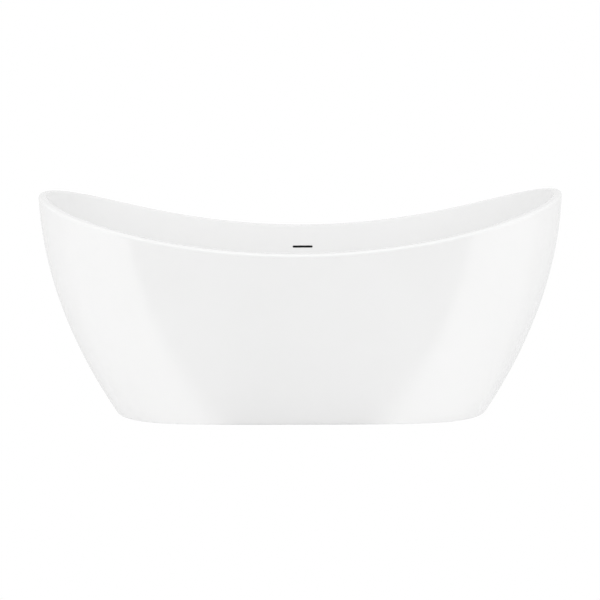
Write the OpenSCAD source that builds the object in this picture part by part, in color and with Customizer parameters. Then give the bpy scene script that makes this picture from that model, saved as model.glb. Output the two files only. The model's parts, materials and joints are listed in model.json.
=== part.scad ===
// Freestanding double-slipper bathtub: a double-skinned acrylic shell on a steel
// frame with levelling feet, a pop-up waste in the floor and a slot overflow.
// Millimetres, +Z up, +X along the length. The origin is on the floor, under the
// middle of the tub. The overflow slot is in the +Y wall.

/* [Tub] */
// Overall length at the rim
rim_l = 1700; // [1660:5:1740]
// Overall width at the rim
rim_w = 800; // [790:5:820]
// Height of the rim at the two ends
end_h = 725; // [700:5:760]
// Height of the rim in the middle
mid_h = 571; // [565:1:580]
// Length of the skirt at the floor
base_l = 1210; // [1180:10:1250]
// Width of the skirt at the floor
base_w = 520; // [510:5:540]
// Squareness of the outline at the rim
rim_power = 6; // [5:0.5:7]
// Squareness of the outline at the floor
base_power = 5.4; // [5:0.2:6]

/* [Shells] */
// Width of the flat rim
rim_band = 25; // [24:1:28]
// Radius on both edges of the rim
edge_r = 8; // [6:0.5:9]
// Thickness of the basin's wall
basin_t = 6; // [5:0.5:6.5]
// Thickness of the outer skirt
skirt_t = 5; // [4:0.5:5.5]
// Height of the basin's floor above the ground
floor_z = 128; // [128:1:132]
// How far the basin stands in from the skirt at the bottom, at the ends
end_inset = 110; // [100:5:120]
// How far the basin stands in from the skirt at the bottom, at the sides
side_inset = 80; // [78:1:84]
// Points around each shell
columns = 80; // [64:8:88]

/* [Frame and feet] */
// Length of the two rails under the board
rail_l = 900; // [860:10:920]
// Distance of each rail from the middle
rail_y = 110; // [105:1:115]
// Distance of each cross member from the middle
cross_x = 330; // [300:5:355]
// Distance of each foot from the middle line
foot_y = 190; // [180:1:192]
// Diameter of a foot's sole
sole_d = 56; // [50:1:58]
// Thread diameter of a foot
stud_d = 12; // [10:1:12]

/* [Waste and overflow] */
// Diameter of the waste's flange
flange_d = 72; // [70:1:73]
// Outer diameter of the tail pipe
tail_d = 38.1; // [36:0.1:38.5]
// Outer diameter of the overflow pipe
pipe_d = 20; // [18:0.5:20]
// Length of the overflow slot
slot_l = 68; // [50:1:72]
// Height of the overflow slot
slot_h = 7; // [6:0.5:8]
// Height of the slot's middle above the ground
slot_z = 500; // [495:1:503]

/* [Hidden] */
$fn = 64;

fit_gap = 0.05;
glue_gap = 0.3;
touch_gap = 0.5;
overlap = 1;

// ---- Outline and wall of the tub ----

// The end wall's curve is part of a parabola whose top lies just above the rim
end_apex = 1.052;
side_bulge = 0.1;
edge_start = -15;
edge_end = 20;
outer_drop = edge_r * (1 - sin(edge_start));
outer_inset = edge_r * (1 - cos(edge_start));
inner_drop = edge_r * (1 - sin(edge_end));
inner_inset = rim_band - edge_r * (1 - cos(edge_end));

function rim_z(t) = mid_h + (end_h - mid_h) * pow(cos(t), 2);
function wall_top(t) = rim_z(t) - outer_drop;
function end_curve(s) = (1 - pow(1 - s / end_apex, 2)) / (1 - pow(1 - 1 / end_apex, 2));
function side_curve(s) = s * (1 + side_bulge * (1 - s));
function half_l(s) = base_l / 2 + (rim_l / 2 - outer_inset - base_l / 2) * end_curve(s);
function half_w(s) = base_w / 2 + (rim_w / 2 - outer_inset - base_w / 2) * side_curve(s);
function power(s) = base_power + (rim_power - base_power) * s;

// One point of a closed outline: straight-sided, with round ends
function outline(a, b, p, t) =
    [a * cos(t), b * sign(sin(t)) * sqrt(max(0, 1 - pow(abs(cos(t)), p)))];

// A point at height z on the skirt's outer face, moved inwards by inset
function wall_point(t, z, inset) =
    let (s = z / wall_top(t))
    concat(outline(half_l(s) - inset, half_w(s) - inset, power(s), t), z);

// A point on the rim, inset from its outer edge and drop below its top
function rim_point(t, inset, drop) =
    concat(outline(rim_l / 2 - inset, rim_w / 2 - inset, rim_power, t), rim_z(t) - drop);

function angles() = [for (j = [0 : columns - 1]) j * 360 / columns];

// A closed solid whose cross section, a loop of rows, runs round the tub
module ring_solid(rows) {
    n = len(rows[0]);
    m = len(rows);
    faces = [for (i = [0 : m - 1], j = [0 : n - 1])
        let (k = (i + 1) % m, l = (j + 1) % n)
        each [[i * n + j, k * n + j, k * n + l], [i * n + j, k * n + l, i * n + l]]];
    polyhedron([for (row = rows) each row], faces, convexity = 10);
}

// ---- Inner shell ----

basin_power = 7;
floor_t = 8;
recess_r = 38;
recess_depth = 3;
shell_hole_r = 27;
lip_h = 14;
underside_z = floor_z - floor_t;
corner_extra = 14;
lip_root = 1;
wall_root = 2;
slot_cut = 60;
floor_angles = [8, 20, 32, 44, 56, 68, 77];
wall_steps = [0.45, 0.58, 0.72, 0.86, 1];

// The basin's section is a squared-off quarter ellipse: [share of the width, share of the height]
basin_profile = concat(
    [for (f = floor_angles) [pow(sin(f), 2 / basin_power), 1 - pow(cos(f), 2 / basin_power)]],
    [for (h = wall_steps) [pow(1 - pow(1 - h, basin_power), 1 / basin_power), h]]);

function basin_inset(s, low) = inner_inset + (low - inner_inset) * (1 - pow(s, 2));
function basin_z(t, h) = floor_z + (rim_z(t) - inner_drop - floor_z) * h;

// A point of the basin: g is its profile entry, out moves it outwards, drop lowers it
function basin_point(t, g, out, drop) =
    let (z = basin_z(t, g[1]), s = z / wall_top(t),
        a = half_l(s) - basin_inset(s, end_inset), b = half_w(s) - basin_inset(s, side_inset))
    concat(outline(g[0] * a + out, g[0] * b + out, power(s), t), max(underside_z, z - drop));

function circle_point(t, r, z) = [r * cos(t), r * sin(t), z];
function corner_drop(h) = corner_extra * pow(1 - h, 6);

module inner_shell_blank() {
    outer_arc = [edge_start, 0, 30, 60, 90];
    inner_arc = [90, 68, 45, edge_end];
    under_rim = lip_h / 2;
    last = len(basin_profile) - 1;
    rows = concat(
        [for (r = [shell_hole_r, recess_r + recess_depth])
            [for (t = angles()) circle_point(t, r, underside_z)]],
        [for (i = [0 : last - 1]) let (g = basin_profile[i])
            [for (t = angles()) basin_point(t, g, basin_t, corner_drop(g[1]))]],
        [[for (t = angles()) rim_point(t, rim_band - basin_t - wall_root, under_rim)],
            [for (t = angles()) rim_point(t, skirt_t + lip_root, under_rim)],
            [for (t = angles()) wall_point(t, rim_z(t) - lip_h, skirt_t)],
            [for (t = angles()) wall_point(t, rim_z(t) - lip_h, 0)]],
        [for (f = outer_arc)
            [for (t = angles()) rim_point(t, edge_r * (1 - cos(f)), edge_r * (1 - sin(f)))]],
        [for (f = inner_arc)
            [for (t = angles()) rim_point(t, rim_band - edge_r * (1 - cos(f)), edge_r * (1 - sin(f)))]],
        [for (i = [last - 1 : -1 : 0]) [for (t = angles()) basin_point(t, basin_profile[i], 0, 0)]],
        [for (ring = [[recess_r + recess_depth, floor_z], [recess_r, seat_z], [shell_hole_r, seat_z]])
            [for (t = angles()) circle_point(t, ring[0], ring[1])]]);
    ring_solid(rows);
}

// Half-round-ended bar along X, cut or drawn along Y
module slot_bar(length, height, depth) {
    rotate([-90, 0, 0])
        linear_extrude(depth) {
            square([length - height, height], center = true);
            for (side = [-1, 1]) translate([side * (length - height) / 2, 0]) circle(d = height);
        }
}

module inner_shell() {
    color("white") difference() {
        inner_shell_blank();
        translate([0, slot_face_y - slot_cut / 2, slot_z]) slot_bar(slot_l, slot_h, slot_cut);
    }
}

// ---- Outer skirt ----

floor_gap = 3;
flange_w = 28;
flange_t = 4;
skirt_edge_r = 3;
skirt_steps = [0.04, 0.14, 0.28, 0.42, 0.56, 0.7, 0.85, 1];

function skirt_z(t, f) =
    floor_gap + skirt_edge_r + (rim_z(t) - lip_h - glue_gap - floor_gap - skirt_edge_r) * f;

module outer_skirt() {
    rows = concat(
        [for (f = concat([0], skirt_steps)) [for (t = angles()) wall_point(t, skirt_z(t, f), 0)]],
        [for (i = [len(skirt_steps) - 1 : -1 : 0])
            [for (t = angles()) wall_point(t, skirt_z(t, skirt_steps[i]), skirt_t)]],
        [for (p = [[skirt_t, floor_gap + flange_t], [flange_w, floor_gap + flange_t],
                [flange_w, floor_gap], [skirt_edge_r, floor_gap], [1, floor_gap + 1]])
            [for (t = angles()) wall_point(t, p[1], p[0])]]);
    color("white") ring_solid(rows);
}

// ---- Bond and spacers between the shells ----

bond_t = 3;
bond_gap = 1.4;
bond_low = 32;
bond_high = 9;

// A point drop below the rim that keeps to the flat facet between the skirt's two top rows
function facet_point(t, drop, inset) =
    let (low = skirt_z(t, skirt_steps[len(skirt_steps) - 2]), high = skirt_z(t, 1),
        share = (rim_z(t) - drop - low) / (high - low))
    wall_point(t, low, inset) * (1 - share) + wall_point(t, high, inset) * share;

module rim_bond() {
    near = skirt_t + bond_gap;
    far = near + bond_t;
    corners = [[far, bond_low], [far, bond_high], [near, bond_high], [near, bond_low]];
    color("khaki") ring_solid([for (c = corners) [for (t = angles()) facet_point(t, c[1], c[0])]]);
}

spacer_angles = [32, 62, 118, 148, 212, 242, 298, 328];
spacer_span = 3;
spacer_low = 290;
spacer_high = 350;
spacer_clear = 1.6;

// Gap side of the basin's wall, as an inset from the skirt's outer face
function back_inset(t, z, low) =
    let (s = z / wall_top(t)) basin_inset(s, low) - basin_t - spacer_clear;

function spacer_point(t, z, inner) =
    let (s = z / wall_top(t),
        a = half_l(s) - (inner ? back_inset(t, z, end_inset) : skirt_t + spacer_clear),
        b = half_w(s) - (inner ? back_inset(t, z, side_inset) : skirt_t + spacer_clear))
    concat(outline(a, b, power(s), t), z);

module spacer(t) {
    corners = [for (z = [spacer_low, spacer_high], inner = [false, true], side = [-1, 1])
        spacer_point(t + side * spacer_span, z, inner)];
    faces = [[0, 1, 3, 2], [4, 6, 7, 5], [0, 4, 5, 1], [2, 3, 7, 6], [0, 2, 6, 4], [1, 5, 7, 3]];
    polyhedron(corners, faces);
}

module wall_spacers() {
    color("lightyellow") for (t = spacer_angles) spacer(t);
}

// ---- Base board and steel frame ----

board_l = 800;
board_w = 260;
board_t = 18;
board_r = 50;
board_hole_r = 55;
board_z = underside_z - board_t;
rail_w = 30;
rail_h = 25;
tube_t = 2;
rail_z = board_z - rail_h;
cross_w = 40;
cross_h = 30;
cross_l = 470;
cross_z = rail_z - cross_h;
bolt_d = 8;
bolt_head_d = 15;
bolt_head_h = 5;
bolt_l = 40;
rivet_d = 10;
rivet_flange_d = 13;
rivet_h = 9;
screw_d = 4.8;
screw_head_d = 9.5;
screw_head_h = (screw_head_d - screw_d) / 2;
screw_l = 24;
screw_sink = 1;
screw_xs = [-360, -240, 240, 360];

module board_screw_places() {
    for (x = screw_xs, side = [-1, 1]) translate([x, side * rail_y, underside_z - screw_sink]) children();
}

module frame_bolt_places() {
    for (x = [-cross_x, cross_x], y = [-rail_y, rail_y]) translate([x, y, 0]) children();
}

module base_board() {
    color("burlywood") difference() {
        translate([0, 0, board_z]) linear_extrude(board_t) {
            square([board_l - 2 * board_r, board_w], center = true);
            square([board_l, board_w - 2 * board_r], center = true);
            for (x = [-1, 1], y = [-1, 1])
                translate([x * (board_l / 2 - board_r), y * (board_w / 2 - board_r)]) circle(board_r);
        }
        translate([0, 0, board_z - overlap]) cylinder(r = board_hole_r, h = board_t + 2 * overlap);
        board_screw_places() screw_hole();
    }
}

module screw_hole() {
    translate([0, 0, -screw_l - overlap]) cylinder(d = screw_d + 2 * fit_gap, h = screw_l + 4 * overlap);
    translate([0, 0, -screw_head_h - fit_gap])
        cylinder(d1 = screw_d, d2 = screw_head_d + 2 * fit_gap, h = screw_head_h + fit_gap);
    translate([0, 0, -fit_gap]) cylinder(d = screw_head_d + 2 * fit_gap, h = 2 * overlap);
}

module board_screws() {
    color("silver") board_screw_places() {
        translate([0, 0, -screw_l]) cylinder(d = screw_d, h = screw_l - overlap);
        translate([0, 0, -screw_head_h]) cylinder(d1 = screw_d, d2 = screw_head_d, h = screw_head_h);
    }
}

module rail(side) {
    color("lightsteelblue") translate([0, side * rail_y, rail_z]) difference() {
        translate([-rail_l / 2, -rail_w / 2, 0]) cube([rail_l, rail_w, rail_h]);
        translate([-rail_l / 2 - overlap, -rail_w / 2 + tube_t, tube_t])
            cube([rail_l + 2 * overlap, rail_w - 2 * tube_t, rail_h - 2 * tube_t]);
        for (x = screw_xs)
            translate([x, 0, rail_h - tube_t - overlap])
                cylinder(d = screw_d + 2 * fit_gap, h = tube_t + 2 * overlap);
        for (x = [-cross_x, cross_x])
            translate([x, 0, -overlap]) cylinder(d = rivet_d + 2 * fit_gap, h = tube_t + 2 * overlap);
    }
}

module rail_front() { rail(-1); }
module rail_rear() { rail(1); }

module cross_member(side) {
    stud_hole_d = stud_d + 1;
    color("lightsteelblue") translate([side * cross_x, 0, cross_z]) difference() {
        translate([-cross_w / 2, -cross_l / 2, 0]) cube([cross_w, cross_l, cross_h]);
        translate([-cross_w / 2 + tube_t, -cross_l / 2 - overlap, tube_t])
            cube([cross_w - 2 * tube_t, cross_l + 2 * overlap, cross_h - 2 * tube_t]);
        for (y = [-foot_y, foot_y])
            translate([0, y, -overlap]) cylinder(d = stud_hole_d, h = cross_h + 2 * overlap);
        for (y = [-rail_y, rail_y])
            translate([0, y, -overlap]) cylinder(d = bolt_d + 1, h = cross_h + 2 * overlap);
        for (y = [-bracket_screw_y, bracket_screw_y])
            translate([0, y, cross_h - tube_t - overlap])
                cylinder(d = screw_d + 2 * fit_gap, h = tube_t + 2 * overlap);
    }
}

module cross_member_left() { cross_member(-1); }
module cross_member_right() { cross_member(1); }

module frame_bolts() {
    color("silver") frame_bolt_places() {
        translate([0, 0, cross_z - bolt_head_h]) cylinder(d = bolt_head_d, h = bolt_head_h, $fn = 6);
        translate([0, 0, cross_z - overlap]) cylinder(d = bolt_d, h = bolt_l + overlap);
    }
}

module frame_rivet_nuts() {
    color("goldenrod") frame_bolt_places() translate([0, 0, rail_z]) difference() {
        union() {
            cylinder(d = rivet_d, h = rivet_h);
            translate([0, 0, tube_t]) cylinder(d = rivet_flange_d, h = rivet_h - tube_t);
        }
        translate([0, 0, -overlap]) cylinder(d = bolt_d + 2 * fit_gap, h = rivet_h + 2 * overlap);
    }
}

// ---- Brackets that hold the skirt to the frame ----

bracket_w = 34;
bracket_t = 3;
bracket_leg = 40;
bracket_start = 216;
bracket_screw_y = 226;
bracket_screw_l = 12;
bracket_screw_head_h = 3;
bracket_z = cross_z + cross_h;
cross_t = acos(cross_x / half_l(bracket_z / mid_h));
leg_low = wall_point(cross_t, bracket_z + bracket_t, skirt_t);
leg_high = wall_point(cross_t, bracket_z + bracket_leg, skirt_t);
leg_lean = atan((leg_high[1] - leg_low[1]) / (leg_high[2] - leg_low[2]));
leg_gap = 3;
leg_y = leg_low[1] - bracket_t - leg_gap;

module skirt_brackets() {
    color("silver") for (x = [-1, 1], y = [-1, 1])
        translate([x * cross_x, 0, 0]) mirror([0, y < 0 ? 1 : 0, 0]) difference() {
            union() {
                translate([-bracket_w / 2, bracket_start, bracket_z])
                    cube([bracket_w, leg_y + bracket_t - bracket_start, bracket_t]);
                translate([-bracket_w / 2, leg_y, bracket_z])
                    rotate([-leg_lean, 0, 0]) cube([bracket_w, bracket_t, bracket_leg]);
            }
            translate([0, bracket_screw_y, bracket_z - overlap])
                cylinder(d = screw_d + 2 * fit_gap, h = bracket_t + 2 * overlap);
        }
}

module bracket_screws() {
    color("silver") for (x = [-1, 1], y = [-1, 1])
        translate([x * cross_x, y * bracket_screw_y, bracket_z]) {
            translate([0, 0, -bracket_screw_l])
                cylinder(d = screw_d, h = bracket_screw_l + bracket_t + overlap);
            translate([0, 0, bracket_t]) cylinder(d = screw_head_d, h = bracket_screw_head_h);
        }
}

// ---- Levelling feet ----

sole_h = 4;
sole_edge = 1;
cup_top = 15;
cup_d = 40;
cup_foot_h = 2;
cup_shoulder = 6;
cup_bevel = 4;
stud_bottom = 7;
stud_top = 106;
collar_z = 30.5;
collar_h = 7;
collar_d = 20;
nut_h = 9;
nut_across = 22;
foot_places = [[cross_x, foot_y], [-cross_x, foot_y], [-cross_x, -foot_y], [cross_x, -foot_y]];

module at_foot(i) { translate(foot_places[i]) children(); }

module foot_sole(i) {
    color("dimgray") at_foot(i) rotate_extrude()
        polygon([[0, 0], [sole_d / 2 - sole_edge, 0], [sole_d / 2, sole_edge], [sole_d / 2, sole_h],
            [0, sole_h]]);
}

module foot_cup(i) {
    color("gray") at_foot(i) rotate_extrude()
        polygon([[0, sole_h], [sole_d / 2 - sole_edge, sole_h],
            [sole_d / 2 - sole_edge, sole_h + cup_foot_h], [cup_d / 2, cup_top - cup_bevel],
            [cup_d / 2 - cup_shoulder, cup_top], [stud_d / 2 + fit_gap, cup_top],
            [stud_d / 2 + fit_gap, stud_bottom - fit_gap], [0, stud_bottom - fit_gap]]);
}

module foot_stud(i) {
    color("silver") at_foot(i) {
        translate([0, 0, stud_bottom]) cylinder(d = stud_d, h = stud_top - stud_bottom);
        translate([0, 0, collar_z]) cylinder(d = collar_d, h = collar_h, $fn = 6);
    }
}

module foot_sole_1() { foot_sole(0); }
module foot_sole_2() { foot_sole(1); }
module foot_sole_3() { foot_sole(2); }
module foot_sole_4() { foot_sole(3); }
module foot_cup_1() { foot_cup(0); }
module foot_cup_2() { foot_cup(1); }
module foot_cup_3() { foot_cup(2); }
module foot_cup_4() { foot_cup(3); }
module foot_stud_1() { foot_stud(0); }
module foot_stud_2() { foot_stud(1); }
module foot_stud_3() { foot_stud(2); }
module foot_stud_4() { foot_stud(3); }

module nuts_at(z) {
    for (i = [0 : 3]) at_foot(i) translate([0, 0, z]) difference() {
        cylinder(d = nut_across, h = nut_h, $fn = 6);
        translate([0, 0, -overlap]) cylinder(d = stud_d + 2 * fit_gap, h = nut_h + 2 * overlap);
    }
}

module foot_load_nuts() { color("silver") nuts_at(cross_z - nut_h); }
module foot_lock_nuts() { color("silver") nuts_at(cross_z + cross_h); }

// ---- Waste ----

seat_z = floor_z - recess_depth;
top_seal_t = 1;
flange_z = seat_z + top_seal_t;
barrel_r = 24;
throat_r = 21;
barrel_bottom = 92;
spider_z = 106;
spider_h = 6;
spider_w = 5;
flange_edge_t = 1;
flange_crown = 3;
flange_crown_in = 2;
flange_seat_rise = 1.2;
throat_ease = [0.5, 2];
throat_drop = 6;
boss_r = 7.5;
cartridge_r = 5;
stem_r = 3;

module drain_flange() {
    color("gainsboro") {
        rotate_extrude() polygon([[throat_r, barrel_bottom], [barrel_r, barrel_bottom], [barrel_r, flange_z],
            [flange_d / 2, flange_z], [flange_d / 2, flange_z + flange_edge_t],
            [flange_d / 2 - flange_crown_in, flange_z + flange_crown],
            [barrel_r, flange_z + flange_seat_rise],
            [throat_r + throat_ease[0], flange_z - throat_ease[1]], [throat_r, flange_z - throat_drop]]);
        difference() {
            union() {
                translate([0, 0, spider_z]) cylinder(r = boss_r, h = spider_h);
                for (a = [0, 90]) rotate([0, 0, a])
                    translate([-throat_r - overlap, -spider_w / 2, spider_z])
                        cube([2 * (throat_r + overlap), spider_w, spider_h]);
            }
            translate([0, 0, spider_z - overlap])
                cylinder(r = cartridge_r + fit_gap, h = spider_h + 2 * overlap);
        }
    }
}

module washer(inner, outer, z, h) {
    rotate_extrude() translate([inner, z]) square([outer - inner, h]);
}

module drain_top_seal() { color("dimgray") washer(shell_hole_r + 1, flange_d / 2 - 1, seat_z, top_seal_t); }

lower_seal_t = 4;
slip_washer_t = 1;
lower_seal_r = 40;
lower_seal_z = underside_z - lower_seal_t;
drain_nut_h = 10;
drain_nut_d = 78;
drain_nut_z = lower_seal_z - slip_washer_t - drain_nut_h;

module drain_lower_seal() {
    color("dimgray") washer(barrel_r + fit_gap, lower_seal_r, lower_seal_z, lower_seal_t);
}

module drain_slip_washer() {
    color("white")
        washer(barrel_r + fit_gap, lower_seal_r - 1, lower_seal_z - slip_washer_t, slip_washer_t);
}

module drain_nut() {
    color("goldenrod") translate([0, 0, drain_nut_z]) difference() {
        cylinder(d = drain_nut_d, h = drain_nut_h, $fn = 8);
        translate([0, 0, -overlap]) cylinder(r = barrel_r + fit_gap, h = drain_nut_h + 2 * overlap);
    }
}

cap_r = 29.5;
cap_boss_r = 12;
cap_boss_h = 3;
cap_z = flange_z + flange_crown + 0.2;
cap_rise = 5;
cap_edge_t = 1.2;
cap_edge_in = 0.6;

module stopper_cap() {
    dome = [for (a = [0 : 10 : 90])
        [cap_r * cos(a), cap_z + cap_edge_t + (cap_rise - cap_edge_t) * sin(a)]];
    color("gainsboro") rotate_extrude() polygon(concat(
        [[0, cap_z - cap_boss_h], [cap_boss_r, cap_z - cap_boss_h], [cap_boss_r, cap_z],
            [cap_r - cap_edge_in, cap_z], [cap_r, cap_z + cap_edge_in]], dome));
}

seal_low = flange_z - 1.6;
seal_lip = [1.3, 0.4];
seal_waist = [-1, 1.5];
seal_top_in = 2;

module stopper_seal() {
    inner = cap_boss_r + fit_gap;
    color("dimgray") rotate_extrude() polygon([[inner, seal_low], [throat_r, seal_low],
        [throat_r + seal_lip[0], flange_z + seal_lip[1]],
        [throat_r + seal_waist[0], flange_z + seal_waist[1]],
        [throat_r - seal_top_in, cap_z - fit_gap], [inner, cap_z - fit_gap]]);
}

stem_below = 10;
stem_bottom = spider_z - stem_below;

module stopper_stem() {
    color("goldenrod") translate([0, 0, stem_bottom])
        cylinder(r = stem_r, h = cap_z - cap_boss_h - stem_bottom);
}

cartridge_low = 8;
cartridge_cap = 2;
cartridge_head_r = 6.5;

module stopper_cartridge() {
    color("goldenrod") difference() {
        union() {
            translate([0, 0, spider_z - cartridge_low])
                cylinder(r = cartridge_r, h = cartridge_low + spider_h + cartridge_cap);
            translate([0, 0, spider_z + spider_h]) cylinder(r = cartridge_head_r, h = cartridge_cap);
        }
        translate([0, 0, spider_z - cartridge_low - overlap])
            cylinder(r = stem_r + fit_gap, h = cartridge_low + spider_h + cartridge_cap + 2 * overlap);
    }
}

tee_r = 29;
tee_top = 104;
tee_bottom = 50;
tee_bore = 20;
tail_thread_r = 24;
tail_thread_bottom = 44;
branch_z = 66;
branch_r = 15;
branch_end = 46;
pipe_r = pipe_d / 2;
pipe_wall = 1.5;
pipe_bore = pipe_r - pipe_wall;
pipe_start = 36;
thread_overlap = 8;

module waste_tee() {
    color("gainsboro") difference() {
        union() {
            translate([0, 0, tee_bottom]) cylinder(r = tee_r, h = tee_top - tee_bottom);
            translate([0, 0, tail_thread_bottom]) cylinder(r = tail_thread_r, h = thread_overlap);
            translate([0, 0, branch_z]) rotate([-90, 0, 0]) cylinder(r = branch_r, h = branch_end);
        }
        translate([0, 0, tail_thread_bottom - overlap]) cylinder(r = tee_bore, h = tee_top);
        translate([0, 0, barrel_bottom - fit_gap]) cylinder(r = barrel_r + fit_gap, h = tee_top);
        translate([0, 0, branch_z]) rotate([-90, 0, 0]) cylinder(r = pipe_bore, h = branch_end + overlap);
        translate([0, pipe_start - fit_gap, branch_z]) rotate([-90, 0, 0])
            cylinder(r = pipe_r + fit_gap, h = branch_end);
    }
}

tail_bottom = 6;
tail_shoulder = 36;
tail_lip = 40;
tail_flange_t = 2;
tail_bore = 17.5;
tail_neck_r = 20.5;
tail_flange_r = 23.5;
tail_nut_d = 62;
seal_margin = 1.5;

module tailpiece() {
    color("gainsboro") rotate_extrude() polygon([[tail_bore, tail_bottom], [tail_d / 2, tail_bottom],
        [tail_d / 2, tail_shoulder], [tail_neck_r, tail_shoulder], [tail_neck_r, tail_lip],
        [tail_flange_r, tail_lip], [tail_flange_r, tail_lip + tail_flange_t],
        [tail_bore, tail_lip + tail_flange_t]]);
}

module tail_seal() {
    color("dimgray") washer(tail_bore + seal_margin, tail_flange_r, tail_lip + tail_flange_t,
        tail_thread_bottom - tail_lip - tail_flange_t);
}

module tail_nut() {
    color("gainsboro") difference() {
        translate([0, 0, tail_shoulder])
            cylinder(d = tail_nut_d, h = tee_bottom - tail_shoulder, $fn = 8);
        translate([0, 0, tail_shoulder - overlap])
            cylinder(r = tail_neck_r + fit_gap, h = tee_bottom - tail_shoulder);
        translate([0, 0, tail_lip]) cylinder(r = tail_thread_r + fit_gap, h = tee_bottom - tail_shoulder);
    }
}

side_seal_t = 3;
side_nut_start = 32;
side_nut_end = 53;
side_nut_d = 40;

module tee_side_seal() {
    color("dimgray") translate([0, branch_end, branch_z]) rotate([-90, 0, 0])
        washer(pipe_r + fit_gap, branch_r - 1, 0, side_seal_t);
}

module tee_side_nut() {
    color("gainsboro") translate([0, 0, branch_z]) rotate([-90, 0, 0]) difference() {
        translate([0, 0, side_nut_start])
            cylinder(d = side_nut_d, h = side_nut_end - side_nut_start, $fn = 8);
        translate([0, 0, side_nut_start - overlap])
            cylinder(r = branch_r + fit_gap, h = branch_end + side_seal_t - side_nut_start + overlap);
        translate([0, 0, side_nut_start]) cylinder(r = pipe_r + fit_gap, h = side_nut_end);
    }
}

// ---- Overflow ----

slot_s = slot_z / wall_top(90);
slot_face_y = half_w(slot_s) - basin_inset(slot_s, side_inset);
wall_back_y = slot_face_y + basin_t;
back_rise = 20;
back_s = (slot_z + back_rise) / wall_top(90);
back_low_s = (slot_z - back_rise) / wall_top(90);
box_lean = atan((half_w(back_s) - basin_inset(back_s, side_inset)
    - half_w(back_low_s) + basin_inset(back_low_s, side_inset)) / (2 * back_rise));
gasket_t = 3;
box_w = 92;
box_up = 17;
box_down = 38;
box_depth = 15;
box_wall = 2;
inlet_margin = 3;
gasket_margin = 12;

// Draws in the leaning plane of the basin's wall: +Y away from the basin, origin at the slot
module on_wall() {
    translate([0, wall_back_y + touch_gap, slot_z]) rotate([-box_lean, 0, 0]) children();
}

module overflow_gasket() {
    color("black") on_wall() difference() {
        slot_bar(slot_l + 2 * gasket_margin, slot_h + 2 * gasket_margin, gasket_t);
        translate([0, -overlap, 0])
            slot_bar(slot_l + 2 * inlet_margin, slot_h + 2 * inlet_margin, gasket_t + 2 * overlap);
    }
}

// The down pipe leans with the skirt. Its top sits in the box's socket, and its foot
// meets an elbow of radius elbow_r that turns it level, under the rail.
pipe_lean = 14.5;
pipe_top_out = 14;
pipe_top_down = 45;
elbow_r = 30;
socket_wall = 2.5;
socket_l = 14;
socket_lap = 3;
bend_wall = 1;
pipe_top_y = wall_back_y + touch_gap + pipe_top_out * cos(box_lean) - pipe_top_down * sin(box_lean);
pipe_top_z = slot_z - pipe_top_out * sin(box_lean) - pipe_top_down * cos(box_lean);
down_pipe_l = (pipe_top_z - branch_z - elbow_r * (1 - sin(pipe_lean))) / cos(pipe_lean);
elbow_y = pipe_top_y - elbow_r * cos(pipe_lean) - down_pipe_l * sin(pipe_lean);

// Draws from the foot of the down pipe, with +Z up along it
module along_pipe() {
    translate([0, elbow_y + elbow_r * cos(pipe_lean), branch_z + elbow_r * (1 - sin(pipe_lean))])
        rotate([-pipe_lean, 0, 0]) children();
}

box_socket_wall = 2;
socket_rise = 10;
port_r = 5.5;
port_l = 16;

module overflow_box() {
    color("black") difference() {
        union() {
            on_wall() translate([-box_w / 2, gasket_t, -box_down])
                cube([box_w, box_depth, box_up + box_down]);
            along_pipe() translate([0, 0, down_pipe_l - socket_l])
                cylinder(r = pipe_r + box_socket_wall, h = socket_l + socket_rise);
        }
        on_wall() translate([-box_w / 2 + box_wall, gasket_t + box_wall, -box_down + box_wall])
            cube([box_w - 2 * box_wall, box_depth - 2 * box_wall, box_up + box_down - 2 * box_wall]);
        on_wall() translate([0, gasket_t - overlap, 0])
            slot_bar(slot_l + 2 * inlet_margin, slot_h + 2 * inlet_margin, box_wall + 2 * overlap);
        along_pipe() {
            translate([0, 0, down_pipe_l - socket_l - overlap])
                cylinder(r = pipe_r + fit_gap, h = socket_l + overlap + fit_gap);
            translate([0, 0, down_pipe_l]) cylinder(r = pipe_bore, h = socket_rise / 2);
            translate([0, 0, down_pipe_l]) cylinder(r = port_r, h = port_l);
        }
    }
}

module pipe(length) {
    difference() {
        cylinder(r = pipe_r, h = length);
        translate([0, 0, -overlap]) cylinder(r = pipe_bore, h = length + 2 * overlap);
    }
}

module overflow_down_pipe() {
    color("dimgray") along_pipe() translate([0, 0, fit_gap]) pipe(down_pipe_l - fit_gap);
}

module overflow_cross_pipe() {
    color("dimgray") translate([0, pipe_start, branch_z]) rotate([-90, 0, 0])
        pipe(elbow_y - pipe_start - fit_gap);
}

module elbow_bend(r) {
    translate([0, elbow_y, branch_z + elbow_r]) rotate([90, 0, 90]) rotate([0, 0, -90])
        rotate_extrude(angle = 90 - pipe_lean) translate([elbow_r, 0]) circle(r);
}

module elbow_ends() {
    along_pipe() children();
    translate([0, elbow_y, branch_z]) rotate([90, 0, 0]) children();
}

module overflow_elbow() {
    color("dimgray") difference() {
        union() {
            elbow_bend(pipe_r + bend_wall);
            elbow_ends() translate([0, 0, -socket_lap])
                cylinder(r = pipe_r + socket_wall, h = socket_l + socket_lap);
        }
        elbow_bend(pipe_bore);
        elbow_ends() translate([0, 0, -fit_gap]) cylinder(r = pipe_r + fit_gap, h = socket_l + overlap);
    }
}

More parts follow.
